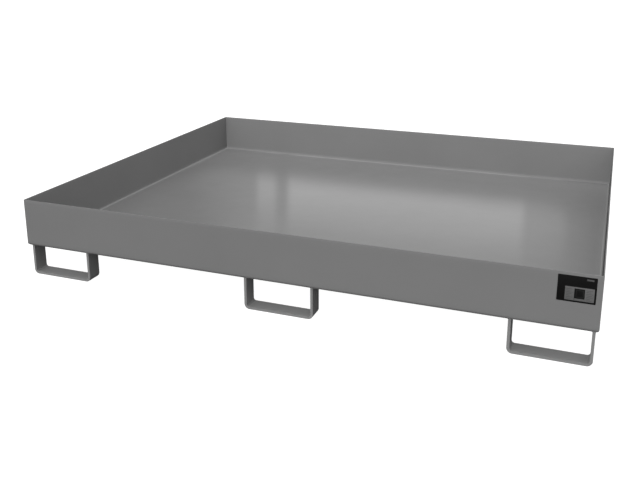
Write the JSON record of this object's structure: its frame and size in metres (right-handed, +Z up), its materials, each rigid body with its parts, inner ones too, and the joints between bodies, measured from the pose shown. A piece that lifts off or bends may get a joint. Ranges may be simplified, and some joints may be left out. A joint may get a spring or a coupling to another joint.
{
  "type": "spill containment pallet",
  "caption": "Open rectangular sheet steel spill tray on bent flat bar loop feet that leave fork clearance under it, with a type label on the front wall.",
  "frame": {"origin": "on the ground, under the centre of the tray", "axes": "+X along the length towards the label end, +Y from the label side to the back, +Z up"},
  "size_m": [1.75, 1.4008, 0.254],
  "materials": {
    "tray_coating": "satin grey powder coat",
    "foot_coating": "satin grey powder coat",
    "weld_coating": "satin grey powder coat over a rippled weld bead",
    "label_film": "matt black printed film with grey fields"
  },
  "bodies": {
    "root": {"tray_pan": "tray_coating", "corner_weld_front_left": "weld_coating", "corner_weld_front_right": "weld_coating", "corner_weld_back_left": "weld_coating", "corner_weld_back_right": "weld_coating", "foot_front_left": "foot_coating", "foot_front_middle": "foot_coating", "foot_front_right": "foot_coating", "foot_back_left": "foot_coating", "foot_back_middle": "foot_coating", "foot_back_right": "foot_coating", "foot_weld_front_left_left_leg": "weld_coating", "foot_weld_front_left_right_leg": "weld_coating", "foot_weld_front_middle_left_leg": "weld_coating", "foot_weld_front_middle_right_leg": "weld_coating", "foot_weld_front_right_left_leg": "weld_coating", "foot_weld_front_right_right_leg": "weld_coating", "foot_weld_back_left_left_leg": "weld_coating", "foot_weld_back_left_right_leg": "weld_coating", "foot_weld_back_middle_left_leg": "weld_coating", "foot_weld_back_middle_right_leg": "weld_coating", "foot_weld_back_right_left_leg": "weld_coating", "foot_weld_back_right_right_leg": "weld_coating", "type_label": "label_film"}
  },
  "joints": []
}
